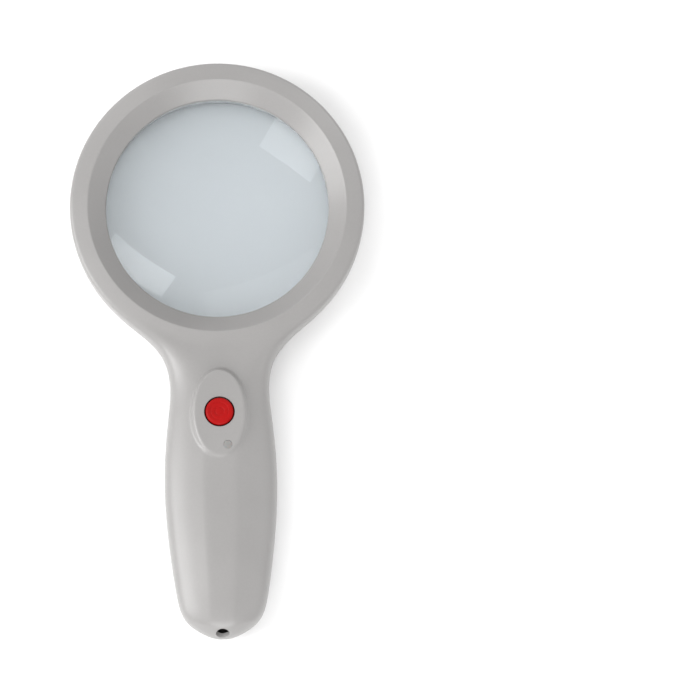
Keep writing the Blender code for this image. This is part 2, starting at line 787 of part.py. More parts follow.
def switch(body_finish, plunger_finish, spring_finish):
    y = along(BUTTON_PLACE)
    low = BOARD_TOP + GAP
    top = low + SWITCH_HEIGHT
    floor = low + SWITCH_FLOOR
    half = SWITCH_WIDTH / 2
    body = box("switch_body", (-half, y - half, low), (half, y + half, top), body_finish)
    bore = cylinder("switch_bore", PLUNGER_RADIUS + GAP, (0, y, floor), (0, y, top + 1 * MM),
                    sides=16)
    apply_boolean(body, bore, "DIFFERENCE")
    button_low = CROWN_AT_BUTTON - WALL - BUTTON_HEADROOM - BUTTON_FLANGE_THICKNESS
    foot = floor + GAP + SPRING_REST + GAP
    cylinder("switch_plunger", PLUNGER_RADIUS, (0, y, foot), (0, y, button_low - GAP),
             plunger_finish, sides=16)
    coil("switch_spring", Vector((0, y, floor + GAP)), Vector((0, 0, 1)), PLUNGER_RADIUS - 2 * SPRING_WIRE,
         SPRING_WIRE, SPRING_REST, 3, spring_finish)


def main_board(finish):
    low = (-BOARD_HALF_WIDTH, along(BOARD_END), BOARD_TOP - BOARD_THICKNESS)
    high = (BOARD_HALF_WIDTH, along(BOARD_START), BOARD_TOP)
    board = box("main_board", low, high, finish)
    for side, x in (("left", -BOARD_SCREW_SIDE), ("right", BOARD_SCREW_SIDE)):
        y = along(BOARD_END - POST_RADIUS - GAP)
        hole = cylinder("board_hole_" + side, SCREW_HOLE_RADIUS, (x, y, low[2] - 1 * MM),
                        (x, y, BOARD_TOP + 1 * MM), sides=12)
        apply_boolean(board, hole, "DIFFERENCE")
    for side, x in (("left", -SCREW_SIDE), ("right", SCREW_SIDE)):
        y = along(SCREW_PLACE)
        notch = cylinder("board_notch_" + side, SCREW_HEAD_RADIUS + POST_WALL + 3 * GAP,
                         (x, y, low[2] - 1 * MM), (x, y, BOARD_TOP + 1 * MM), sides=20)
        apply_boolean(board, notch, "DIFFERENCE")
    return board


def indicator(window_finish, lamp_finish):
    x, y = INDICATOR_SIDE, along(INDICATOR_PLACE)
    lamp_top = BOARD_TOP + GAP + INDICATOR_LAMP_HEIGHT
    box("indicator_led", (x - 1 * MM, y - 0.8 * MM, BOARD_TOP + GAP),
        (x + 1 * MM, y + 0.8 * MM, lamp_top), lamp_finish)
    cylinder("indicator_window", INDICATOR_RADIUS, (x, y, lamp_top + GAP),
             (x, y, PAD_HEIGHT - GAP), window_finish, sides=20)


# ---- cells


def battery_tray(finish):
    """A five-sided box, open at the rear, with an ear for its screw."""
    low = (-TRAY_HALF_WIDTH, along(TRAY_END), TRAY_BOTTOM)
    high = (TRAY_HALF_WIDTH, along(TRAY_START), TRAY_ROOF)
    tray = box("battery_tray", low, high, finish)
    inside = box(
        "tray_bay",
        (-TRAY_INNER_HALF, along(TRAY_END - TRAY_WALL), TRAY_BOTTOM - 5 * MM),
        (TRAY_INNER_HALF, along(TRAY_START + TRAY_WALL), TRAY_ROOF - TRAY_WALL),
    )
    reach = TRAY_END + 2 * POST_RADIUS
    ear = box(
        "tray_ear",
        (-POST_RADIUS, along(reach), TRAY_ROOF - 1.5 * TRAY_WALL),
        (POST_RADIUS, along(TRAY_END - TRAY_WALL / 2), TRAY_ROOF),
    )
    y = along(TRAY_END + POST_RADIUS)
    hole = cylinder("tray_ear_hole", SCREW_HOLE_RADIUS, (0, y, TRAY_BOTTOM), (0, y, TRAY_ROOF + 1 * MM),
                    sides=12)
    apply_boolean(tray, inside, "DIFFERENCE")
    apply_boolean(tray, ear, "UNION")
    apply_boolean(tray, hole, "DIFFERENCE")
    return tray


def cells(cell_finish, spring_finish, contact_finish):
    """Cells in series: the outer two point towards the head, and the middle one away from it."""
    head = TRAY_START + TRAY_WALL + GAP + CONTACT_THICKNESS + GAP
    tail = TRAY_END - TRAY_WALL - GAP - CONTACT_THICKNESS - GAP
    profile = (
        (0.0, CELL_LENGTH), (0.35 * CELL_RADIUS, CELL_LENGTH),
        (0.35 * CELL_RADIUS, CELL_LENGTH - CELL_NUB), (CELL_RADIUS, CELL_LENGTH - CELL_NUB),
        (CELL_RADIUS, 0.0), (0.0, 0.0),
    )
    for i in range(CELL_COUNT):
        x = (i - (CELL_COUNT - 1) / 2) * CELL_SPACING
        sign = 1 if i % 2 == 0 else -1
        base = head + CELL_LENGTH if sign > 0 else tail - CELL_LENGTH
        cell = turned(f"battery_cell_{i + 1}", profile, cell_finish, steps=20, closed=False)
        cell.location = (x, along(base), CELL_HEIGHT)
        cell.rotation_euler = (-sign * math.pi / 2, 0, 0)
        start = tail if sign > 0 else head
        coil(
            f"battery_spring_{i + 1}", Vector((x, along(start), CELL_HEIGHT)), Vector((0, sign, 0)),
            0.55 * CELL_RADIUS, CONTACT_WIRE, CONTACT_SPRING - GAP, 3, spring_finish,
        )
    contacts(head, tail, contact_finish)


def contacts(head, tail, finish):
    half = CELL_RADIUS - 2 * GAP
    low, high = CELL_HEIGHT - half, CELL_HEIGHT + half
    plates = (
        ("contact_head_positive", head, -1, 0, 0),
        ("contact_head_bridge", head, -1, 1, 2),
        ("contact_tail_bridge", tail, 1, 0, 1),
        ("contact_tail_negative", tail, 1, 2, 2),
    )
    for name, place, away, first, last in plates:
        left = (first - (CELL_COUNT - 1) / 2) * CELL_SPACING - half
        right = (last - (CELL_COUNT - 1) / 2) * CELL_SPACING + half
        near = place + away * GAP
        far = near + away * CONTACT_THICKNESS
        box(name, (left, along(max(near, far)), low), (right, along(min(near, far)), high), finish)


# ---- charging socket, screws and leads


def dc_jack(body_finish, pin_finish):
    face = HANDLE_LENGTH - SOCKET_SETBACK
    half = SOCKET_WIDTH / 2
    rise = SOCKET_BODY_HEIGHT / 2
    body = box(
        "dc_jack",
        (-half, along(face), SOCKET_HEIGHT - rise),
        (half, along(face - SOCKET_LENGTH), SOCKET_HEIGHT + rise),
        body_finish,
    )
    bore = cylinder(
        "jack_bore", SOCKET_HOLE_RADIUS, (0, along(face + 1 * MM), SOCKET_HEIGHT),
        (0, along(face - SOCKET_DEPTH), SOCKET_HEIGHT), sides=24, along_y=True,
    )
    apply_boolean(body, bore, "DIFFERENCE")
    root = face - SOCKET_DEPTH + GAP
    cylinder(
        "jack_pin", PIN_RADIUS, (0, along(root + PIN_LENGTH), SOCKET_HEIGHT),
        (0, along(root), SOCKET_HEIGHT), pin_finish, sides=12, along_y=True,
    )


def screw(name, x, distance, seat, length, finish):
    """A round-headed screw driven upwards from the rear, its head just under seat."""
    shoulder = seat - GAP
    low = shoulder - SCREW_HEAD_HEIGHT
    profile = (
        (0.0, shoulder + length),
        (SCREW_SHANK_RADIUS, shoulder + length),
        (SCREW_SHANK_RADIUS, shoulder),
        (SCREW_HEAD_RADIUS, shoulder),
        (SCREW_HEAD_RADIUS, low + 0.4 * SCREW_HEAD_HEIGHT),
        (0.7 * SCREW_HEAD_RADIUS, low),
        (0.0, low),
    )
    return turned(name, profile, finish, steps=12, place=(x, along(distance), 0), closed=False)


def screws(finish):
    board_place = BOARD_END - POST_RADIUS - GAP
    board_seat = BOARD_TOP - BOARD_THICKNESS
    for side, sign in (("left", -1), ("right", 1)):
        screw("neck_screw_" + side, sign * SCREW_SIDE, SCREW_PLACE, SCREW_SEAT, SCREW_LENGTH, finish)
        screw("board_screw_" + side, sign * BOARD_SCREW_SIDE, board_place, board_seat,
              BOARD_SCREW_LENGTH, finish)
    screw("tray_screw", 0.0, TRAY_END + POST_RADIUS, TRAY_ROOF - 1.5 * TRAY_WALL,
          TRAY_SCREW_LENGTH, finish)


def leads(red, black):
    clear = GAP + LEAD_RADIUS
    ring_top = LAMP_BOARD_BOTTOM + LAMP_BOARD_THICKNESS + clear
    board_top = BOARD_TOP + clear
    jack_back = HANDLE_LENGTH - SOCKET_SETBACK - SOCKET_LENGTH - clear
    roof = TRAY_ROOF + 2.5 * clear
    for name, side, finish in (("red", 1, red), ("black", -1, black)):
        x = side * 3 * MM
        ring_lead = [
            Vector((x, along(LAMP_CIRCLE - HEAD_RADIUS), ring_top)),
            Vector((x, along(4 * MM), ring_top + 0.5 * MM)),
            Vector((1.4 * x, along(BOARD_START - 6 * MM), board_top)),
            Vector((1.4 * x, along(BOARD_START + 4 * MM), board_top)),
        ]
        tube("led_lead_" + name, smooth_route(ring_lead), LEAD_RADIUS, finish)
        x = side * (POST_RADIUS + clear)
        wide = side * (POST_RADIUS + 3 * clear)
        jack_lead = [
            Vector((x, along(jack_back), SOCKET_HEIGHT)),
            Vector((x, along(jack_back - 3 * MM), SOCKET_HEIGHT + 1 * MM)),
            Vector((wide, along(TRAY_END + POST_RADIUS), roof + 1 * MM)),
            Vector((wide, along(TRAY_END - 6 * MM), roof)),
            Vector((wide, along(TRAY_START + 6 * MM), roof)),
            Vector((wide, along(TRAY_START), roof)),
            Vector((wide, along(BOARD_END + 2 * MM), board_top + 1 * MM)),
            Vector((wide, along(BOARD_END - 2 * MM), board_top)),
        ]
        tube("jack_lead_" + name, smooth_route(jack_lead), LEAD_RADIUS, finish)


def build():
    casing_grey = material("casing_grey", (0.45, 0.44, 0.43), 0.42)
    clear_glass = material("clear_glass", (0.86, 0.93, 0.96), 0.02)
    clear_window = material("clear_window", (0.93, 0.94, 0.94), 0.15)
    reflector_white = material("reflector_white", (0.86, 0.86, 0.84), 0.25)
    button_red = material("button_red", (0.56, 0.01, 0.012), 0.3)
    smoked_grey = material("smoked_grey", (0.33, 0.33, 0.32), 0.3)
    board_green = material("board_green", (0.03, 0.2, 0.07), 0.45)
    switch_black = material("switch_black", (0.02, 0.02, 0.02), 0.4)
    plunger_white = material("plunger_white", (0.75, 0.75, 0.72), 0.4)
    lamp_clear = material("lamp_clear", (0.9, 0.9, 0.8), 0.1)
    lamp_green = material("lamp_green", (0.1, 0.6, 0.2), 0.2)
    cell_sleeve = material("cell_sleeve", (0.12, 0.32, 0.2), 0.35)
    nickel = material("nickel", (0.62, 0.6, 0.57), 0.3, 1.0)
    steel = material("steel", (0.45, 0.45, 0.46), 0.35, 1.0)
    lead_red = material("lead_red", (0.5, 0.02, 0.02), 0.5)
    lead_black = material("lead_black", (0.02, 0.02, 0.02), 0.5)

    front_shell(casing_grey)
    rear_shell(casing_grey)
    battery_cover(casing_grey)
    lens(clear_glass)
    reflector_ring(reflector_white)
    light_window(clear_window)
    led_board(board_green)
    leds(lamp_clear)
    push_button(button_red)
    switch(switch_black, plunger_white, nickel)
    main_board(board_green)
    indicator(smoked_grey, lamp_green)
    battery_tray(switch_black)
    cells(cell_sleeve, nickel, nickel)
    dc_jack(switch_black, nickel)
    screws(steel)
    leads(lead_red, lead_black)


clear_scene()
parts = new_collection("low_vision_magnifier")
cutters = new_collection("cutters")
build()
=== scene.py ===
import math

import bmesh
import bpy
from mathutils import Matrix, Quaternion, Vector
from mathutils.bvhtree import BVHTree


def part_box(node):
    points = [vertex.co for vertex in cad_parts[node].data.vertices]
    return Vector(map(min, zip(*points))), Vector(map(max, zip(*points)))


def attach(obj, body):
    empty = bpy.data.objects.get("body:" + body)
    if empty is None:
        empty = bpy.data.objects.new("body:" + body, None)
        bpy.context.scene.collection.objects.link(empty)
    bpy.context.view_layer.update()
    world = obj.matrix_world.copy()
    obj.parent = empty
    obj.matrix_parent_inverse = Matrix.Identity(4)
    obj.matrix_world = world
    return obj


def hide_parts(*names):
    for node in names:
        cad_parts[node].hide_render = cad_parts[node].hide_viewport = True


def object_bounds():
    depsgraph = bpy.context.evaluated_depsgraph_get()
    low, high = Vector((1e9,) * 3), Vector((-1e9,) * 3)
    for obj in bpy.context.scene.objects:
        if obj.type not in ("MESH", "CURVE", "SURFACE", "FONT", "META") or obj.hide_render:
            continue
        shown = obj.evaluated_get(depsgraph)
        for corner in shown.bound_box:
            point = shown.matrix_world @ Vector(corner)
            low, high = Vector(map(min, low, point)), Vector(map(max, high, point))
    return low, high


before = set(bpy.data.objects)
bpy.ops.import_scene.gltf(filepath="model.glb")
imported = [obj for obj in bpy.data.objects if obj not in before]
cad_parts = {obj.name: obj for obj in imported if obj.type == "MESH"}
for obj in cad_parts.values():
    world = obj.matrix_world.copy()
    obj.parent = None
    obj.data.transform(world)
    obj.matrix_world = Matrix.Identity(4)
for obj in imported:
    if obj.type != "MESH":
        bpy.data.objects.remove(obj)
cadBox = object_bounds()

mm = 0.001
upwards = Vector((0, 0, 1))
downwards = Vector((0, 0, -1))
endwards = Vector((0, -1, 0))


def middleOf(node):
    low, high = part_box(node)
    return (low + high) / 2


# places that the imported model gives
headY = middleOf("lens").y
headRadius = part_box("front_shell")[1].x
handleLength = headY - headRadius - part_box("front_shell")[0].y
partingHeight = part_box("front_shell")[0].z
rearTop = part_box("rear_shell")[1].z


def along(distance):
    return headY - headRadius - distance


def newPiece(name, data):
    made = bpy.data.objects.new(name, data)
    bpy.context.scene.collection.objects.link(made)
    return made


def meshFrom(builder, name):
    bmesh.ops.recalc_face_normals(builder, faces=builder.faces)
    mesh = bpy.data.meshes.new(name)
    builder.to_mesh(mesh)
    builder.free()
    return mesh


def settle(piece):  # applies every modifier
    bpy.context.view_layer.update()
    evaluated = piece.evaluated_get(bpy.context.evaluated_depsgraph_get())
    mesh = bpy.data.meshes.new_from_object(evaluated)
    piece.modifiers.clear()
    piece.data = mesh
    return piece


def combine(piece, tool, operation):
    change = piece.modifiers.new("change", "BOOLEAN")
    change.operation = operation
    change.object = tool
    settle(piece)
    bpy.data.objects.remove(tool, do_unlink=True)


def joined(name, tools):  # several loose solids as one object
    builder = bmesh.new()
    for tool in tools:
        tool.data.transform(tool.matrix_world)
        builder.from_mesh(tool.data)
        bpy.data.objects.remove(tool, do_unlink=True)
    return newPiece(name, meshFrom(builder, name))


def finishShading(piece, degrees=32):
    piece.data.shade_smooth()
    piece.data.set_sharp_from_angle(angle=math.radians(degrees))
    if "even" not in piece.modifiers:
        even = piece.modifiers.new("even", "WEIGHTED_NORMAL")
        even.keep_sharp = True
    return piece


def lofted(name, rows, capFirst=True, capLast=True):  # closed rings of points, one after another
    builder = bmesh.new()
    rings = [[builder.verts.new(point) for point in row] for row in rows]
    for one, two in zip(rings, rings[1:]):
        for i in range(len(one)):
            j = (i + 1) % len(one)
            builder.faces.new((one[i], one[j], two[j], two[i]))
    if capFirst:
        builder.faces.new(rings[0])
    if capLast:
        builder.faces.new(rings[-1])
    return newPiece(name, meshFrom(builder, name))


def turned(name, profile, place=(0, 0, 0), columns=96, ring=False):
    builder = bmesh.new()
    centre = Vector(place)
    rows = []
    for radius, height in profile:
        if radius < 0.001 * mm:
            rows.append([builder.verts.new(centre + upwards * height)])
            continue
        row = []
        for i in range(columns):
            angle = 2 * math.pi * i / columns
            across = Vector((math.cos(angle), math.sin(angle), 0)) * radius
            row.append(builder.verts.new(centre + across + upwards * height))
        rows.append(row)
    if ring:
        rows.append(rows[0])
    for one, two in zip(rows, rows[1:]):
        for i in range(columns):
            j = (i + 1) % columns
            corners = [one[i % len(one)], one[j % len(one)], two[j % len(two)], two[i % len(two)]]
            corners = list(dict.fromkeys(corners))
            if len(corners) > 2:
                builder.faces.new(corners)
    return newPiece(name, meshFrom(builder, name))


def roundedCorner(x, y, radius, first, last, steps=5):  # arc points around (x, y), angles in degrees
    points = []
    for i in range(steps + 1):
        angle = math.radians(first + (last - first) * i / steps)
        points.append((x + radius * math.cos(angle), y + radius * math.sin(angle)))
    return points


def block(name, low, high, edge=0.0):
    builder = bmesh.new()
    bmesh.ops.create_cube(builder, size=1.0)
    for vert in builder.verts:
        share = [value + 0.5 for value in vert.co]
        vert.co = [low[i] + (high[i] - low[i]) * share[i] for i in range(3)]
    if edge:
        bmesh.ops.bevel(
            builder, geom=builder.edges[:], offset=edge, segments=3, profile=0.5, affect="EDGES"
        )
    return newPiece(name, meshFrom(builder, name))


class Surface:  # the outside of a shell, found along straight lines
    def __init__(self, piece):
        bpy.context.view_layer.update()
        self.tree = BVHTree.FromObject(piece, bpy.context.evaluated_depsgraph_get())

    def below(self, point, axis):
        start = point + axis * 0.2
        hit = self.tree.ray_cast(start, -axis)[0]
        return hit if hit is not None else point


def newMaterial(name):
    made = bpy.data.materials.new(name)
    made.use_nodes = True
    nodes = made.node_tree.nodes
    return made, nodes, made.node_tree.links, nodes["Principled BSDF"]


def noiseNode(nodes, links, place, scale, detail=3.0, roughness=0.5):
    noise = nodes.new("ShaderNodeTexNoise")
    noise.inputs["Scale"].default_value = scale
    noise.inputs["Detail"].default_value = detail
    noise.inputs["Roughness"].default_value = roughness
    links.new(place, noise.inputs["Vector"])
    return noise.outputs["Fac"]


def rangeNode(nodes, links, value, low, high, fromLow=0.3, fromHigh=0.7):
    ranged = nodes.new("ShaderNodeMapRange")
    ranged.inputs["From Min"].default_value = fromLow
    ranged.inputs["From Max"].default_value = fromHigh
    ranged.inputs["To Min"].default_value = low
    ranged.inputs["To Max"].default_value = high
    links.new(value, ranged.inputs["Value"])
    return ranged.outputs["Result"]


def mixNode(nodes, links, share, first, second):
    mixed = nodes.new("ShaderNodeMix")
    mixed.data_type = "RGBA"
    mixed.inputs["A"].default_value = (*first, 1)
    mixed.inputs["B"].default_value = (*second, 1)
    links.new(share, mixed.inputs["Factor"])
    return mixed.outputs["Result"]


def placeNode(nodes, links, stretch=(1, 1, 1)):
    place = nodes.new("ShaderNodeTexCoord")
    scaled = nodes.new("ShaderNodeMapping")
    scaled.inputs["Scale"].default_value = stretch
    links.new(place.outputs["Object"], scaled.inputs["Vector"])
    return scaled.outputs["Vector"]


def mouldedMaterial(name, look):
    made, nodes, links, shader = newMaterial(name)
    place = placeNode(nodes, links, look.get("stretch", (1, 1, 1)))
    cloud = noiseNode(nodes, links, place, look.get("cloudScale", 28))
    speck = noiseNode(nodes, links, place, look.get("speckScale", 700), 2.0)
    grain = noiseNode(nodes, links, place, look.get("grainScale", 2600), 3.0, 0.6)
    tint = nodes.new("ShaderNodeMath")
    tint.operation = "MULTIPLY_ADD"
    tint.inputs[1].default_value = look.get("speckShare", 0.3)
    links.new(speck, tint.inputs[0])
    links.new(cloud, tint.inputs[2])
    share = rangeNode(nodes, links, tint.outputs[0], 0, 1, 0.45, 0.85)
    links.new(mixNode(nodes, links, share, look["dark"], look["light"]), shader.inputs["Base Color"])
    low, high = look["roughness"]
    links.new(rangeNode(nodes, links, speck, low, high), shader.inputs["Roughness"])
    bump = nodes.new("ShaderNodeBump")
    bump.inputs["Strength"].default_value = look.get("bump", 0.2)
    bump.inputs["Distance"].default_value = look.get("grainDepth", 0.02 * mm)
    links.new(grain, bump.inputs["Height"])
    links.new(bump.outputs["Normal"], shader.inputs["Normal"])
    shader.inputs["Metallic"].default_value = look.get("metallic", 0.0)
    shader.inputs["Specular IOR Level"].default_value = look.get("specular", 0.5)
    shader.inputs["Coat Weight"].default_value = look.get("coat", 0.0)
    shader.inputs["Coat Roughness"].default_value = look.get("coatRoughness", 0.1)
    shader.inputs["Transmission Weight"].default_value = look.get("transmission", 0.0)
    shader.inputs["Subsurface Weight"].default_value = look.get("subsurface", 0.0)
    shader.inputs["Subsurface Scale"].default_value = look.get("subsurfaceScale", 1.0 * mm)
    return made


def clearMaterial(name, look):
    made, nodes, links, shader = newMaterial(name)
    place = placeNode(nodes, links)
    smear = noiseNode(nodes, links, place, look["smearScale"], 4.0)
    low, high = look["roughness"]
    links.new(rangeNode(nodes, links, smear, low, high, 0.45, 0.75), shader.inputs["Roughness"])
    tint = mixNode(nodes, links, smear, look["colour"], look["second"])
    links.new(tint, shader.inputs["Base Color"])
    shader.inputs["IOR"].default_value = look["ior"]
    shader.inputs["Transmission Weight"].default_value = 1.0
    bump = nodes.new("ShaderNodeBump")
    bump.inputs["Strength"].default_value = look.get("bump", 0.02)
    bump.inputs["Distance"].default_value = look.get("depth", 0.005 * mm)
    links.new(smear, bump.inputs["Height"])
    links.new(bump.outputs["Normal"], shader.inputs["Normal"])
    through = nodes.new("ShaderNodeBsdfTransparent")
    through.inputs["Color"].default_value = (*look["shadow"], 1)
    rays = nodes.new("ShaderNodeLightPath")
    choose = nodes.new("ShaderNodeMixShader")
    links.new(rays.outputs["Is Shadow Ray"], choose.inputs["Fac"])
    links.new(shader.outputs["BSDF"], choose.inputs[1])
    links.new(through.outputs["BSDF"], choose.inputs[2])
    links.new(choose.outputs["Shader"], nodes["Material Output"].inputs["Surface"])
    return made


def dress(piece, body, slot, material, *nodes):
    piece.data.materials.clear()
    piece.data.materials.append(material)
    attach(piece, body)
    if nodes:
        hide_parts(*nodes)
    return piece


# each half of the casing is one cage, smoothed and then given its wall

casing = {
    "wall": 2.2 * mm, "gap": 0.3 * mm, "smoothing": 3, "columns": 24, "neckColumns": 5,
    "rimWidth": 8.5 * mm, "coneWidth": 8.4 * mm, "coneDepth": 7.0 * mm, "lipDepth": 1.8 * mm,
    "rimHeight": 24.0 * mm, "rearTaper": 3.6 * mm, "landWidth": 2.6 * mm,
    "halfWidth": 26.2 * mm, "frontHeight": 28.3 * mm, "partingSpare": 1.5 * mm,
    "endColumns": (0.56, 0.19), "endCorner": 2.5 * mm,
}
casing["swell"] = 6 / (4 + 2 * math.cos(2 * math.pi / casing["columns"]))
rimRadius = headRadius - casing["rimWidth"]
openingRadius = rimRadius - casing["coneWidth"]
lipHeight = casing["rimHeight"] - casing["coneDepth"] - casing["lipDepth"]

# sections from the parting line to the middle: share of the half width, share of the height
neckFront = ((1.0, 0.0), (1.0, 0.42), (1.0, 0.86), (0.93, 0.92), (0.58, 0.97), (0.2, 1.0))
gripFront = ((1.0, 0.0), (1.0, 0.3), (0.93, 0.61), (0.64, 0.835), (0.34, 0.965), (0.25, 1.0))
neckRear = ((1.0, 0.0), (0.985, 0.42), (0.965, 0.86), (0.92, 1.0), (0.58, 1.0), (0.2, 1.0))
gripRear = ((1.0, 0.0), (0.985, 0.38), (0.9, 0.76), (0.66, 0.97), (0.38, 1.0), (0.13, 1.0))

# share of the length, share of the half width, lead of the middle, share of grip section,
# drop of the front and rise of the rear
stations = (
    (-0.029, 1.1, 7.0 * mm, 0.35, 4.4 * mm, 0.2 * mm),
    (0.052, 0.9, 3.0 * mm, 0.8, 2.4 * mm, 0.1 * mm),
    (0.140, 0.863, 0.6 * mm, 1.0, 0.8 * mm, 0.0),
    (0.245, 0.935, 0.0, 1.0, 0.2 * mm, 0.0),
    (0.360, 0.990, 0.0, 1.0, 0.0, 0.0),
    (0.480, 1.006, 0.0, 1.0, 0.0, 0.0),
    (0.600, 0.972, 0.0, 1.0, 0.2 * mm, 0.3 * mm),
    (0.710, 0.912, 0.0, 1.0, 0.7 * mm, 0.8 * mm),
    (0.810, 0.840, 0.0, 1.0, 1.6 * mm, 1.6 * mm),
    (0.893, 0.772, 0.0, 1.0, 3.2 * mm, 2.8 * mm),
    (0.945, 0.640, 1.6 * mm, 1.0, 5.4 * mm, 4.4 * mm),
)
endRowsFront = ((0.0, 0.0), (0.38, 0.4 * mm), (0.8, 3.2 * mm))
endRowsRear = ((0.0, 0.0), (0.45, 0.9 * mm), (0.85, 3.0 * mm))


def ringPoint(radius, height, column):
    angle = (column + 0.5) * 2 * math.pi / casing["columns"]
    reach = radius * casing["swell"]
    return (reach * math.sin(angle), headY - reach * math.cos(angle), height)


def cageHeight(share, depth):
    if share == 0:
        return partingHeight - math.copysign(casing["partingSpare"], depth)
    return partingHeight + share * depth


def stationPoints(station, neck, grip, depth):
    place, width, lead, share, drop, rise = station
    height = depth - drop if depth > 0 else depth + rise
    half = []
    for (neckAcross, neckUp), (gripAcross, gripUp) in zip(neck, grip):
        across = neckAcross + (gripAcross - neckAcross) * share
        level = neckUp + (gripUp - neckUp) * share
        y = along(place * handleLength + lead * max(0.0, 1 - across * across))
        half.append((across * width * casing["halfWidth"], y, cageHeight(level, height)))
    return [(-x, y, z) for x, y, z in half] + half[::-1]


def addEnd(builder, section, endRows, depth):
    side = len(endRows)
    crown = max(section, key=lambda vert: vert.co.z * depth).co.z
    above = section[side:-side]
    for row in range(side - 1, -1, -1):
        share, setback = endRows[row]
        left, right = section[row], section[-1 - row]
        z = cageHeight(share, crown - partingHeight)
        corner = along(handleLength - setback - casing["endCorner"])
        end = along(handleLength - setback)
        outer, inner = [part * right.co.x for part in casing["endColumns"]]
        points = [(-outer, corner, z), (-inner, end, z), (inner, end, z), (outer, corner, z)]
        below = [left] + [builder.verts.new(point) for point in points] + [right]
        for i in range(len(below) - 1):
            builder.faces.new((above[i], above[i + 1], below[i + 1], below[i]))
        above = below


def casingShell(name, profile, shared, neck, grip, depth, endRows):
    builder = bmesh.new()
    half = casing["neckColumns"] // 2 + 1
    first, last = -half, half - 1
    columns = range(first, first + casing["columns"])
    rings = []
    for row, (radius, height) in enumerate(profile):
        wanted = [c for c in columns if row <= shared or not first < c < last]
        rings.append({c: builder.verts.new(ringPoint(radius, height, c)) for c in wanted})
    for row, (inner, outer) in enumerate(zip(rings, rings[1:])):
        for c in columns:
            after = c + 1 if c + 1 in columns else first
            if row < shared or not first <= c < last:
                builder.faces.new((inner[c], inner[after], outer[after], outer[c]))
    outerRows = rings[shared + 1:]
    shoulder = [ring[first] for ring in outerRows[::-1]]
    shoulder += [rings[shared][c] for c in range(first, last + 1)]
    shoulder += [ring[last] for ring in outerRows]
    sections = [shoulder]
    for station in stations:
        points = stationPoints(station, neck, grip, depth)
        sections.append([builder.verts.new(point) for point in points])
    for one, two in zip(sections, sections[1:]):
        for i in range(len(one) - 1):
            builder.faces.new((one[i], one[i + 1], two[i + 1], two[i]))
    addEnd(builder, sections[-1], endRows, depth)
    bmesh.ops.recalc_face_normals(builder, faces=builder.faces)
    probe = sections[5][5].link_faces[0]
    probe.normal_update()
    if probe.normal.z * depth < 0:
        bmesh.ops.reverse_faces(builder, faces=builder.faces)
    mesh = bpy.data.meshes.new(name)
    builder.to_mesh(mesh)
    builder.free()
    shell = newPiece(name, mesh)
    smooth = shell.modifiers.new("smooth", "SUBSURF")
    smooth.levels = casing["smoothing"]
    smooth.render_levels = casing["smoothing"]
    wall = shell.modifiers.new("wall", "SOLIDIFY")
    wall.thickness = casing["wall"]
    wall.offset = -1
    return settle(shell)


def frontProfile():
    slope = casing["coneDepth"] / casing["coneWidth"]
    lipTop = lipHeight + casing["lipDepth"]

    def cone(reach):
        return (openingRadius + reach, lipTop + slope * reach)

    def face(reach):
        return (rimRadius + reach, casing["rimHeight"] - 0.157 * reach)

    return (
        (openingRadius, lipHeight),
        (openingRadius, lipTop - 0.5 * mm),
        (openingRadius + 0.06 * mm, lipTop - 0.06 * mm),
        cone(0.45 * mm), cone(1.2 * mm),
        cone(casing["coneWidth"] - 1.1 * mm), cone(casing["coneWidth"] - 0.3 * mm),
        face(0.1 * mm), face(0.7 * mm), face(0.3 * casing["rimWidth"]),
        (rimRadius + 0.74 * casing["rimWidth"], casing["rimHeight"] - 1.05 * mm),
        (headRadius, casing["rimHeight"] - 1.5 * mm),
        (headRadius, casing["rimHeight"] - 7.0 * mm),
        (headRadius - 0.4 * mm, partingHeight - casing["partingSpare"]),
    ), 10


def rearProfile():
    top = partingHeight + casing["partingSpare"]
    outer = headRadius - casing["rearTaper"]
    flare = headRadius - 0.3 * mm - outer
    return (
        (outer - casing["landWidth"], 0.0),
        (outer - 0.7 * mm, 0.0),
        (outer - 0.05 * mm, 0.0),
        (outer + 0.15 * flare + 0.3 * mm, 0.15 * top),
        (outer + 0.6 * flare, 0.6 * top),
        (outer + flare, top),
    ), 2


def trimmed(shell, low, high):
    reach = handleLength + headRadius
    combine(shell, block("trim", (-reach, -reach, low), (reach, reach, high)), "DIFFERENCE")


def flaredCutter(name, surface, centre, axis, radius, depth, edge, steps=(), columns=72):
    side = axis.orthogonal().normalized()
    other = axis.cross(side)
    rows = [(r, d) for r, d in steps] + [(radius, depth)]
    for i in range(5):
        angle = math.radians(22.5 * i)
        rows.append((radius + edge * (1 - math.cos(angle)), edge * (1 - math.sin(angle))))
    rows += [(radius + 1.5 * edge, -0.1 * edge), (radius + 1.5 * edge, -4 * mm)]
    points = []
    for reach, below in rows:
        ring = []
        for i in range(columns):
            angle = 2 * math.pi * i / columns
            spot = centre + (side * math.cos(angle) + other * math.sin(angle)) * reach
            ring.append(surface.below(spot, axis) - axis * below)
        points.append(ring)
    return lofted(name, points)


pad = {
    "halfWidth": 12.6 * mm, "halfLength": 20.7 * mm, "shift": 0.2 * mm,
    "columns": 128,
    "edge": ((2.2, -0.08), (1.6, 0.0), (1.15, 0.05), (0.75, 0.16), (0.4, 0.33), (0.1, 0.53),
             (-0.2, 0.71), (-0.55, 0.86), (-1.0, 0.96), (-1.6, 1.0)),
}
buttonHole = {"radius": 7.05 * mm, "edge": 0.3 * mm}
indicatorHole = {"radius": 2.03 * mm, "edge": 0.06 * mm, "side": 3.7 * mm, "place": 46.6 * mm}
socketHole = {"radius": 3.1 * mm, "edge": 0.35 * mm, "height": 17.5 * mm}
buttonY = middleOf("push_button").y
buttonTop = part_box("push_button")[1].z
buttonProud = 0.9 * mm
padTop = buttonTop - buttonProud


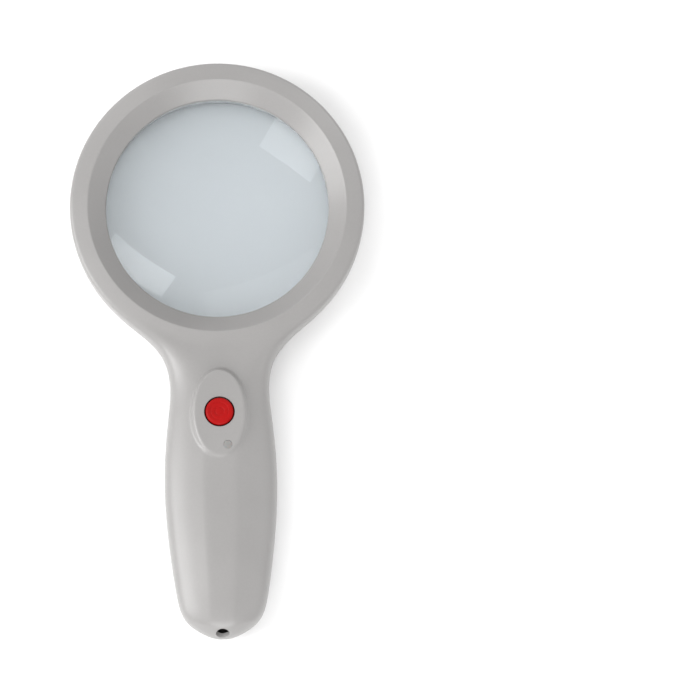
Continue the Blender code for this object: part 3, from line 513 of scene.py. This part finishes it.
def ovalPoint(share, grown):
    angle = 2 * math.pi * share
    width, length = pad["halfWidth"], pad["halfLength"]
    outward = Vector((length * math.cos(angle), width * math.sin(angle), 0)).normalized()
    spot = Vector((width * math.cos(angle), length * math.sin(angle), 0))
    return Vector((0, buttonY - pad["shift"], 0)) + spot + outward * grown


def raisedPad(surface):
    rows = []
    for i in range(len(pad["edge"])):
        grown, share = pad["edge"][i]
        ring = []
        for column in range(pad["columns"]):
            spot = ovalPoint(column / pad["columns"], grown * mm)
            base = surface.below(spot, upwards)
            lift = (padTop - base.z) * share if share >= 0 else share * mm
            ring.append(base + upwards * lift)
        rows.append(ring)
    under = [point - upwards * 0.8 * mm for point in rows[0]]
    return lofted("raisedPad", [under] + rows)


def frontCasing(material):
    profile, shared = frontProfile()
    shell = casingShell(
        "frontCasing", profile, shared, neckFront, gripFront,
        casing["frontHeight"] - partingHeight, endRowsFront,
    )
    trimmed(shell, partingHeight - 10 * mm, partingHeight)
    surface = Surface(shell)
    combine(shell, raisedPad(surface), "UNION")
    surface = Surface(shell)
    button = Vector((0, buttonY, 0))
    spot = Vector((indicatorHole["side"], along(indicatorHole["place"]), 0))
    socket = Vector((0, along(handleLength), socketHole["height"]))
    tools = [
        flaredCutter("holeA", surface, button, upwards, buttonHole["radius"], 8 * mm,
                     buttonHole["edge"], columns=96),
        flaredCutter("holeB", surface, spot, upwards, indicatorHole["radius"], 8 * mm,
                     indicatorHole["edge"]),
        flaredCutter("holeC", surface, socket, endwards, socketHole["radius"], 9 * mm,
                     socketHole["edge"]),
    ]
    combine(shell, joined("holes", tools), "DIFFERENCE")
    finishShading(shell)
    return dress(shell, "casing", "casing", material, "front_shell")


cover = {
    "start": 43.0 * mm, "halfWidth": 18.5 * mm, "bow": 1.6 * mm, "steps": 32,
    "tongueLength": 4.0 * mm, "tongueHalfWidth": 5.0 * mm,
}
screwPost = {"seat": 7.0 * mm, "recess": 2.9 * mm, "shaft": 1.5 * mm, "wall": 1.5 * mm}


def coverOutline(name, spare):
    half = cover["halfWidth"] + spare
    top = cover["start"] - spare
    bottom = handleLength + 20 * mm
    points = [(half, along(bottom)), (half, along(top))]
    for i in range(1, cover["steps"]):
        across = 1 - 2 * i / cover["steps"]
        points.append((across * half, along(top + cover["bow"] * (1 - across * across))))
    points += [(-half, along(top)), (-half, along(bottom))]
    low = [Vector((x, y, -partingHeight)) for x, y in points]
    high = [Vector((x, y, partingHeight)) for x, y in points]
    return lofted(name, [low, high])


def rearHalf(name):
    profile, shared = rearProfile()
    shell = casingShell(name, profile, shared, neckRear, gripRear, -partingHeight, endRowsRear)
    trimmed(shell, rearTop, partingHeight + 10 * mm)
    return shell


def rearCasing(material):
    shell = rearHalf("rearCasing")
    surface = Surface(shell)
    posts, recesses = [], []
    for node in ("neck_screw_left", "neck_screw_right"):
        centre = Vector((middleOf(node).x, middleOf(node).y, 0))
        reach = screwPost["recess"] + screwPost["wall"]
        low, high = 0.6 * casing["wall"], rearTop - 0.05 * mm
        posts.append(turned(node + "Post", ((0, low), (reach, low), (reach, high), (0, high)), centre))
        steps = ((screwPost["shaft"], rearTop + 1 * mm), (screwPost["shaft"], screwPost["seat"]))
        recesses.append(flaredCutter(node + "Recess", surface, centre, downwards,
                                     screwPost["recess"], screwPost["seat"], 0.4 * mm, steps))
    combine(shell, joined("posts", posts), "UNION")
    combine(shell, joined("recesses", recesses), "DIFFERENCE")
    combine(shell, coverOutline("opening", casing["gap"]), "DIFFERENCE")
    finishShading(shell)
    return dress(shell, "casing", "casing", material, "rear_shell")


def batteryCover(material):
    shell = rearHalf("batteryDoor")
    combine(shell, coverOutline("outline", 0.0), "INTERSECT")
    top = cover["start"] + cover["bow"]
    half = cover["tongueHalfWidth"]
    reach = cover["tongueLength"]
    low = casing["wall"] + 2 * casing["gap"]
    high = low + 1.0 * mm
    root = block("root", (-0.8 * half, along(top + 0.8 * reach), 0.7 * casing["wall"]),
                 (0.8 * half, along(top + 0.3 * reach), high - 0.2 * mm))
    tongue = block("tongue", (-half, along(top + reach), low), (half, along(top - reach), high),
                   0.25 * mm)
    combine(shell, root, "UNION")
    combine(shell, tongue, "UNION")
    finishShading(shell)
    return dress(shell, "cover", "casing", material, "battery_cover")


glass = {"edge": 2.7 * mm, "bulge": 4.2 * mm, "edgeRound": 0.35 * mm, "rows": 40, "columns": 192}


def lensPiece(material):
    low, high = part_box("lens")
    radius = (high.x - low.x) / 2
    middle = (low.z + high.z) / 2
    flat = radius - glass["edgeRound"]
    profile = []
    for i in range(glass["rows"] + 1):
        share = i / glass["rows"]
        profile.append((flat * share, glass["edge"] / 2 + glass["bulge"] * (1 - share * share)))
    corner = glass["edge"] / 2 - glass["edgeRound"]
    profile += roundedCorner(flat, corner, glass["edgeRound"], 70, 0, 4)
    profile += [(reach, -height) for reach, height in profile[::-1]]
    shape = [(reach, middle + height) for reach, height in profile]
    piece = turned("lensGlass", shape, (0, headY, 0), glass["columns"])
    finishShading(piece, 40)
    return dress(piece, "casing", "lens", material, "lens")


lampRing = {"count": 18, "cup": 4.5 * mm, "hole": 2.9 * mm, "cupDepth": 3.2 * mm, "skin": 0.7 * mm}


def lampPlaces():
    return [middleOf(f"led_{i + 1:02d}") for i in range(lampRing["count"])]


def reflectorPiece(material):
    low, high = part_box("reflector_ring")
    bottom = low.z
    outer = (high.x - low.x) / 2
    inner = openingRadius + 0.3 * mm
    collar = inner + 1.5 * mm
    plate = bottom + 1.4 * mm
    profile = (
        (collar - 0.2 * mm, high.z), (collar, high.z - 0.2 * mm), (collar, plate),
        (outer - 0.2 * mm, plate), (outer, plate - 0.2 * mm), (outer, bottom + 0.2 * mm),
        (outer - 0.2 * mm, bottom), (inner + 0.2 * mm, bottom), (inner, bottom + 0.2 * mm),
        (inner, high.z - 0.2 * mm), (inner + 0.2 * mm, high.z),
    )
    ring = turned("lampReflector", profile, (0, headY, 0), 216, ring=True)
    cup, hole, skin = lampRing["cup"], lampRing["hole"], lampRing["skin"]
    top = bottom + lampRing["cupDepth"]
    holes, cups = [], []
    for place in lampPlaces():
        centre = (place.x, place.y, 0)
        wide, narrow = cup - 0.15 * mm, hole + 0.05 * mm
        solid = ((wide + skin, plate - 0.3 * mm), (narrow + skin, top), (0, top),
                 (0, bottom + 0.3 * mm), (wide + skin, bottom + 0.3 * mm))
        cups.append(turned("cup", solid[::-1], centre, 40))
        bore = ((0, bottom - 1 * mm), (cup, bottom - 1 * mm), (cup, bottom + 0.1 * mm),
                (cup - 0.4 * mm, bottom + 0.5 * mm), (hole + 0.3 * mm, top - 0.8 * mm),
                (hole, top + 1 * mm), (0, top + 1 * mm))
        holes.append(turned("bore", bore, centre, 40))
    combine(ring, joined("cups", cups), "UNION")
    combine(ring, joined("bores", holes), "DIFFERENCE")
    finishShading(ring)
    return dress(ring, "casing", "reflector", material, "reflector_ring")


def lampPieces(material):
    low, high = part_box("led_01")
    radius = (high.x - low.x) / 2
    length = high.z - low.z
    flange = length * 0.78
    profile = [(0, length)]
    profile += [(radius - 0.1 * mm, length), (radius, length - 0.1 * mm), (radius, flange + 0.1 * mm)]
    profile += [(radius - 0.1 * mm, flange), (0.88 * radius, flange)]
    dome = 0.86 * radius
    profile += [(reach, dome - height) for reach, height in roundedCorner(0, 0, dome, 0, 90, 12)]
    mesh = None
    for i, place in enumerate(lampPlaces()):
        piece = turned(f"lamp{i + 1:02d}", profile, (0, 0, 0), 32) if mesh is None else \
            newPiece(f"lamp{i + 1:02d}", mesh)
        mesh = piece.data
        piece.location = (place.x, place.y, low.z)
        if i == 0:
            finishShading(piece, 40)
            mesh.materials.append(material)
        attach(piece, "casing")
        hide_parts(f"led_{i + 1:02d}")


def windowPiece(material):
    low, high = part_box("light_window")
    outer = (high.x - low.x) / 2
    inner = openingRadius + 0.3 * mm
    edge = 0.3 * mm
    profile = []
    profile += roundedCorner(outer - edge, high.z - edge, edge, 90, 0, 3)
    profile += roundedCorner(outer - edge, low.z + edge, edge, 0, -90, 3)
    profile += roundedCorner(inner + edge, low.z + edge, edge, -90, -180, 3)
    profile += roundedCorner(inner + edge, high.z - edge, edge, 180, 90, 3)
    piece = turned("lampWindow", profile, (0, headY, 0), 216, ring=True)
    finishShading(piece, 40)
    return dress(piece, "casing", "light_window", material, "light_window")


button = {
    "radius": 6.5 * mm, "flange": 8.05 * mm,
    "top": ((0.0, 0.0), (1.55, 0.0), (1.7, -0.03), (1.85, -0.12), (2.1, -0.12), (2.25, -0.03),
            (2.4, 0.0), (3.7, 0.0), (3.85, -0.03), (4.0, -0.11), (4.2, -0.11), (4.35, -0.04),
            (4.5, -0.01), (5.3, -0.04), (5.75, -0.12), (6.1, -0.32), (6.35, -0.65),
            (6.47, -1.1)),
}


def buttonPiece(material):
    low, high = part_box("push_button")
    profile = [(reach * mm, high.z + depth * mm) for reach, depth in button["top"]]
    radius, flange = button["radius"], button["flange"]
    shelf = low.z + 1.0 * mm
    profile += [(radius, high.z - 1.6 * mm), (radius, shelf), (flange - 0.1 * mm, shelf)]
    profile += [(flange, shelf - 0.1 * mm), (flange, low.z + 0.1 * mm), (flange - 0.1 * mm, low.z)]
    profile += [(0, low.z)]
    piece = turned("pressButton", profile, (0, buttonY, 0), 128)
    finishShading(piece, 40)
    return dress(piece, "button", "button", material, "push_button")


def indicatorPiece(material):
    low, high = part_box("indicator_window")
    centre = ((low.x + high.x) / 2, (low.y + high.y) / 2, 0)
    radius = (high.x - low.x) / 2
    top = padTop - 0.02 * mm
    profile = [(0, top + 0.0 * mm), (radius - 0.25 * mm, top)]
    profile += roundedCorner(radius - 0.15 * mm, top - 0.15 * mm, 0.15 * mm, 80, 0, 3)
    profile += [(radius, low.z), (0, low.z)]
    piece = turned("indicatorPipe", profile, centre, 48)
    finishShading(piece, 40)
    return dress(piece, "casing", "indicator", material, "indicator_window")


def screwPiece(node, material):
    low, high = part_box(node)
    centre = ((low.x + high.x) / 2, (low.y + high.y) / 2, 0)
    head = (high.x - low.x) / 2
    headTop = low.z + 1.8 * mm
    shank = 1.2 * mm
    profile = [(0, low.z), (0.35 * head, low.z + 0.04 * mm), (0.66 * head, low.z + 0.22 * mm)]
    profile += [(0.88 * head, low.z + 0.6 * mm), (head, low.z + 1.15 * mm), (head, headTop - 0.1 * mm)]
    profile += [(head - 0.1 * mm, headTop), (shank, headTop)]
    pitch = 0.55 * mm
    level = headTop + 0.4 * mm
    while level + pitch < high.z - 0.8 * mm:
        profile += [(0.84 * shank, level), (shank, level + 0.45 * pitch)]
        level += pitch
    profile += [(0.84 * shank, high.z - 0.8 * mm), (0, high.z)]
    piece = turned(node.replace("_screw", "Screw").replace("_", "") + "Piece", profile, centre, 48)
    arms = []
    for wide, long in ((0.3 * mm, 1.25 * mm), (1.25 * mm, 0.3 * mm)):
        rows = []
        for height, share in ((low.z - 0.5 * mm, 1.0), (low.z + 1.0 * mm, 0.7)):
            x, y = wide * share, long * share
            corners = ((-x, -y), (x, -y), (x, y), (-x, y))
            rows.append([Vector((centre[0] + a, centre[1] + b, height)) for a, b in corners])
        arms.append(lofted("arm", rows))
    for arm in arms:
        combine(piece, arm, "DIFFERENCE")
    finishShading(piece)
    return dress(piece, "casing", "screw_steel", material, node)


def cellPiece(node, headwards, sleeve, metal):
    low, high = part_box(node)
    radius = (high.x - low.x) / 2
    length = high.y - low.y
    nub = 1.0 * mm
    body = length - nub
    profile = [(0, 0.15 * mm), (0.62 * radius, 0.15 * mm), (0.7 * radius, 0.0)]
    profile += [(radius - 0.5 * mm, 0.0)] + roundedCorner(
        radius - 0.45 * mm, 0.45 * mm, 0.45 * mm, -80, 0, 4)
    profile += roundedCorner(radius - 0.45 * mm, body - 0.45 * mm, 0.45 * mm, 0, 80, 4)
    profile += [(0.62 * radius, body - 0.05 * mm), (0.6 * radius, body - 0.3 * mm)]
    profile += [(0.37 * radius, body - 0.3 * mm), (0.35 * radius, length - 0.2 * mm)]
    profile += [(0.29 * radius, length), (0, length)]
    piece = turned(node.replace("battery_cell_", "cell"), profile, (0, 0, 0), 64)
    finishShading(piece, 40)
    for finish in (sleeve, metal):
        piece.data.materials.append(finish)
    for face in piece.data.polygons:
        reach = max(math.hypot(*piece.data.vertices[i].co[:2]) for i in face.vertices)
        face.material_index = 1 if reach < 0.72 * radius else 0
    piece.rotation_euler.x = -math.pi / 2 if headwards else math.pi / 2
    start = low.y if headwards else high.y
    piece.location = ((low.x + high.x) / 2, start, (low.z + high.z) / 2)
    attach(piece, "casing")
    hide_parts(node)


def coilPiece(node, axis, turns, wire, material):
    low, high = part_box(node)
    middle = (low + high) / 2
    length = abs((high - low).dot(axis))
    side = axis.orthogonal().normalized()
    other = axis.cross(side)
    radius = abs((high - low).dot(side)) / 2 - wire
    steps = 28
    count = int(turns * steps)
    curve = bpy.data.curves.new(node, "CURVE")
    curve.dimensions = "3D"
    curve.bevel_depth = wire
    curve.bevel_resolution = 3
    curve.use_fill_caps = True
    spline = curve.splines.new("POLY")
    spline.points.add(count)
    start = middle - axis * (length / 2 - wire)
    for i, point in enumerate(spline.points):
        angle = 2 * math.pi * i / steps
        spot = start + axis * ((length - 2 * wire) * i / count)
        spot += (side * math.cos(angle) + other * math.sin(angle)) * radius
        point.co = (*spot, 1)
    piece = newPiece(node.replace("_spring", "Coil").replace("_", ""), curve)
    settled = bpy.data.meshes.new_from_object(piece.evaluated_get(
        bpy.context.evaluated_depsgraph_get()))
    builder = bmesh.new()
    builder.from_mesh(settled)
    bmesh.ops.remove_doubles(builder, verts=builder.verts, dist=0.001 * mm)
    mesh = meshFrom(builder, node)
    name = piece.name
    bpy.data.objects.remove(piece, do_unlink=True)
    piece = newPiece(name, mesh)
    finishShading(piece, 50)
    return dress(piece, "casing", "nickel", material, node)


looks = {
    "casing": {
        "dark": (0.243, 0.237, 0.233), "light": (0.265, 0.258, 0.254),
        "roughness": (0.28, 0.38), "cloudScale": 22, "speckScale": 900, "grainScale": 2800,
        "bump": 0.35, "grainDepth": 0.03 * mm, "specular": 0.55,
    },
    "button": {
        "dark": (0.27, 0.0008, 0.0008), "light": (0.33, 0.0015, 0.0015), "roughness": (0.42, 0.52),
        "cloudScale": 90, "grainScale": 2400, "bump": 0.2, "specular": 0.14,
    },
    "indicator": {
        "dark": (0.205, 0.2, 0.194), "light": (0.228, 0.223, 0.216), "roughness": (0.36, 0.46),
        "cloudScale": 250, "bump": 0.1, "subsurface": 0.2,
    },
    "reflector": {
        "dark": (0.78, 0.78, 0.76), "light": (0.86, 0.86, 0.84), "roughness": (0.16, 0.28),
        "coat": 0.3, "bump": 0.1,
    },
    "lamp": {
        "dark": (0.82, 0.72, 0.32), "light": (0.93, 0.88, 0.6), "roughness": (0.05, 0.12),
        "cloudScale": 500, "coat": 1.0, "coatRoughness": 0.03, "subsurface": 0.3,
        "transmission": 0.25, "bump": 0.03,
    },
    "board": {
        "dark": (0.012, 0.11, 0.04), "light": (0.03, 0.2, 0.07), "roughness": (0.3, 0.5),
        "cloudScale": 160, "speckShare": 0.6, "coat": 0.4, "bump": 0.25,
    },
    "blackPlastic": {
        "dark": (0.012, 0.012, 0.013), "light": (0.03, 0.03, 0.031), "roughness": (0.38, 0.55),
        "bump": 0.3,
    },
    "whitePlastic": {
        "dark": (0.68, 0.68, 0.64), "light": (0.78, 0.78, 0.75), "roughness": (0.35, 0.5),
        "bump": 0.15,
    },
    "greenLamp": {
        "dark": (0.06, 0.42, 0.13), "light": (0.12, 0.62, 0.22), "roughness": (0.12, 0.22),
        "coat": 0.6, "subsurface": 0.2, "bump": 0.05,
    },
    "sleeve": {
        "dark": (0.035, 0.17, 0.09), "light": (0.06, 0.24, 0.13), "roughness": (0.24, 0.36),
        "cloudScale": 120, "coat": 0.5, "bump": 0.12,
    },
    "nickel": {
        "dark": (0.52, 0.5, 0.46), "light": (0.68, 0.66, 0.62), "roughness": (0.22, 0.38),
        "metallic": 1.0, "stretch": (1, 1, 6), "bump": 0.12,
    },
    "screwSteel": {
        "dark": (0.36, 0.35, 0.34), "light": (0.55, 0.55, 0.56), "roughness": (0.26, 0.46),
        "metallic": 1.0, "cloudScale": 300, "bump": 0.2,
    },
    "redLead": {
        "dark": (0.42, 0.015, 0.015), "light": (0.55, 0.03, 0.025), "roughness": (0.42, 0.56),
        "bump": 0.15,
    },
    "blackLead": {
        "dark": (0.012, 0.012, 0.012), "light": (0.03, 0.03, 0.03), "roughness": (0.42, 0.56),
        "bump": 0.15,
    },
}
lensLook = {  # casts a much darker shadow than clear glass does
    "colour": (0.83, 0.86, 0.88), "second": (0.85, 0.88, 0.895), "shadow": (0.16, 0.18, 0.2),
    "roughness": (0.0, 0.03), "smearScale": 45, "ior": 1.5, "bump": 0.01,
}
windowLook = {
    "colour": (0.93, 0.94, 0.94), "second": (0.96, 0.96, 0.95), "shadow": (0.9, 0.9, 0.9),
    "roughness": (0.08, 0.2), "smearScale": 350, "ior": 1.49, "bump": 0.1,
}


def keepNode(node, material):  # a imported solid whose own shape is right
    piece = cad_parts[node]
    piece.data.materials.clear()
    piece.data.materials.append(material)
    even = piece.modifiers.new("edges", "BEVEL")
    even.width = 0.12 * mm
    even.segments = 2
    even.limit_method = "ANGLE"
    even.angle_limit = math.radians(50)


view = {
    "elevation": 77.5, "roll": -0.95, "distance": 4.0, "lens": 440, "aside": 62.1 * mm,
    "below": 66.6 * mm, "headHeight": 18 * mm,
}
worldStrength = 0.85
softboxes = {  # direction, distance, width and height, power, turn in degrees
    "leftBox": ((-0.87, -0.1, 0.5), 1.6, (1.1, 1.1), 21, 0),
    "endBox": ((0, -0.87, 0.5), 1.6, (1.1, 1.1), 12.5, 0),
    "topBox": ((-0.3, 0.82, 0.5), 1.6, (1.1, 1.1), 3, 0),
    "rightBox": ((0.87, 0.0, 0.5), 1.6, (1.1, 1.1), 3, 0),
    "overLeft": ((-0.44, -0.06, 0.9), 1.4, (0.5, 0.36), 1.6, 48),
    "overRight": ((0.4, 0.57, 0.71), 1.4, (0.55, 0.28), 2, 0),
}


def addFloor():
    builder = bmesh.new()
    bmesh.ops.create_grid(builder, x_segments=8, y_segments=8, size=3.0)
    floor = newPiece("floor", meshFrom(builder, "floor"))
    floor.location.z = cadBox[0].z
    look = {"dark": (0.9, 0.9, 0.9), "light": (0.93, 0.93, 0.93), "roughness": (0.6, 0.7),
            "cloudScale": 3, "speckScale": 60, "grainScale": 200, "bump": 0.02}
    floor.data.materials.append(mouldedMaterial("paleFloor", look))


def addLights():
    world = bpy.data.worlds.new("studio")
    bpy.context.scene.world = world
    world.use_nodes = True
    background = world.node_tree.nodes["Background"]
    background.inputs["Color"].default_value = (1.0, 1.0, 1.0, 1)
    background.inputs["Strength"].default_value = worldStrength
    target = Vector((0, 0, 0.02))
    for name, (direction, reach, (width, height), power, turn) in softboxes.items():
        data = bpy.data.lights.new(name, "AREA")
        data.shape = "RECTANGLE"
        data.size, data.size_y = width, height
        data.energy = power
        lamp = newPiece(name, data)
        towards = Vector(direction).normalized()
        lamp.location = target + towards * reach
        lamp.rotation_mode = "QUATERNION"
        facing = (-towards).to_track_quat("-Z", "Y")
        lamp.rotation_quaternion = facing @ Quaternion((0, 0, 1), math.radians(turn))


def addCamera():
    data = bpy.data.cameras.new("camera")
    data.lens = view["lens"]
    data.sensor_width = 36
    data.clip_end = 20
    camera = newPiece("camera", data)
    tilt = math.radians(view["elevation"])
    back = Vector((0, -math.cos(tilt), math.sin(tilt)))
    turn = (-back).to_track_quat("-Z", "Y") @ Quaternion((0, 0, 1), math.radians(view["roll"]))
    right = turn @ Vector((1, 0, 0))
    top = turn @ Vector((0, 1, 0))
    aim = Vector((0, headY, view["headHeight"])) + right * view["aside"] - top * view["below"]
    camera.location = aim + back * view["distance"]
    camera.rotation_mode = "QUATERNION"
    camera.rotation_quaternion = turn
    bpy.context.scene.camera = camera


bpy.context.scene.view_settings.view_transform = "Standard"
addFloor()
addLights()
addCamera()
print("camera and lights are in place")

finishes = {name: mouldedMaterial(name, look) for name, look in looks.items()}
lensGlass = clearMaterial("lensGlass", lensLook)
windowPlastic = clearMaterial("windowPlastic", windowLook)

frontCasing(finishes["casing"])
print("front casing is made")
rearCasing(finishes["casing"])
batteryCover(finishes["casing"])
print("rear casing and battery cover are made")

lensPiece(lensGlass)
reflectorPiece(finishes["reflector"])
lampPieces(finishes["lamp"])
windowPiece(windowPlastic)
print("lens and lamp ring are made")

buttonPiece(finishes["button"])
indicatorPiece(finishes["indicator"])
for node in ("neck_screw_left", "neck_screw_right", "board_screw_left", "board_screw_right",
             "tray_screw"):
    screwPiece(node, finishes["screwSteel"])
for i in range(3):
    cellPiece(f"battery_cell_{i + 1}", i != 1, finishes["sleeve"], finishes["nickel"])
    coilPiece(f"battery_spring_{i + 1}", Vector((0, 1, 0)), 3, 0.35 * mm, finishes["nickel"])
print("button, screws and cells are made")

for node, slot, finish in (
    ("led_board", "board", "board"), ("main_board", "board", "board"),
    ("switch_body", "black_plastic", "blackPlastic"), ("dc_jack", "black_plastic", "blackPlastic"),
    ("battery_tray", "black_plastic", "blackPlastic"),
    ("switch_plunger", "white_plastic", "whitePlastic"), ("switch_spring", "nickel", "nickel"),
    ("indicator_led", "green_lamp", "greenLamp"), ("jack_pin", "nickel", "nickel"),
    ("contact_head_positive", "nickel", "nickel"), ("contact_head_bridge", "nickel", "nickel"),
    ("contact_tail_bridge", "nickel", "nickel"), ("contact_tail_negative", "nickel", "nickel"),
    ("led_lead_red", "red_lead", "redLead"), ("jack_lead_red", "red_lead", "redLead"),
    ("led_lead_black", "black_lead", "blackLead"), ("jack_lead_black", "black_lead", "blackLead"),
):
    keepNode(node, finishes[finish])
print("every packed node has its finish")
